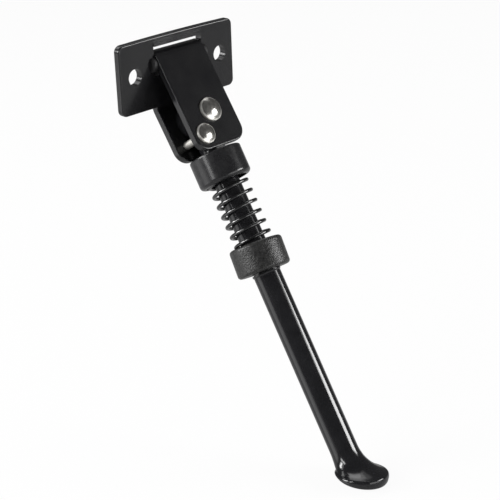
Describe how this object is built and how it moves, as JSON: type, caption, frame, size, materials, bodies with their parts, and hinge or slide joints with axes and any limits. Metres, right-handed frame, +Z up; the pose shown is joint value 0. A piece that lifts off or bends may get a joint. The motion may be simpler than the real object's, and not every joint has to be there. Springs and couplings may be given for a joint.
{
  "type": "electric scooter kickstand",
  "caption": "Kickstand for an electric scooter: bolted plate, riveted clevis, sprung snap collar and a slanted leg with a flared foot that swings up sideways.",
  "frame": {"origin": "midway between the two bolt holes, on the plate's back face", "axes": "X along the plate, +Y into the scooter's deck through the mounting face, +Z up"},
  "size_m": [0.064, 0.1179, 0.1699],
  "materials": {
    "bracket_paint": "satin black paint on folded steel sheet",
    "rivet_plating": "bright zinc plating, polished domes",
    "leg_paint": "gloss black paint on forged steel",
    "cup_coating": "smooth satin black coating",
    "spring_paint": "gloss black spring wire",
    "seat_rubber": "grainy matte black rubber"
  },
  "bodies": {
    "bracket": {"mounting_plate": "bracket_paint", "front_cheek": "bracket_paint", "root_weld": "bracket_paint", "pivot_rivet": "rivet_plating", "stop_rivet": "rivet_plating"},
    "leg": {"leg": "leg_paint", "spring_seat": "seat_rubber", "spring": "spring_paint"},
    "cup": {"spring_cup": "cup_coating"}
  },
  "joints": [
    {"name": "leg_swing", "type": "hinge", "parent": "bracket", "child": "leg", "pos_m": [0.0007, -0.01297, -0.02099], "axis": [0, -0.829, 0.5592], "range_deg": [0, 92]},
    {"name": "cup_slide", "type": "slide", "parent": "leg", "child": "cup", "axis": [-0.041, -0.5587, -0.8283], "range_m": [0, 0.0039], "deforming": ["spring"]}
  ],
  "couplings": [
    {"joint": "cup_slide", "follows": "leg_swing", "m_per_rad": 0.0024}
  ]
}
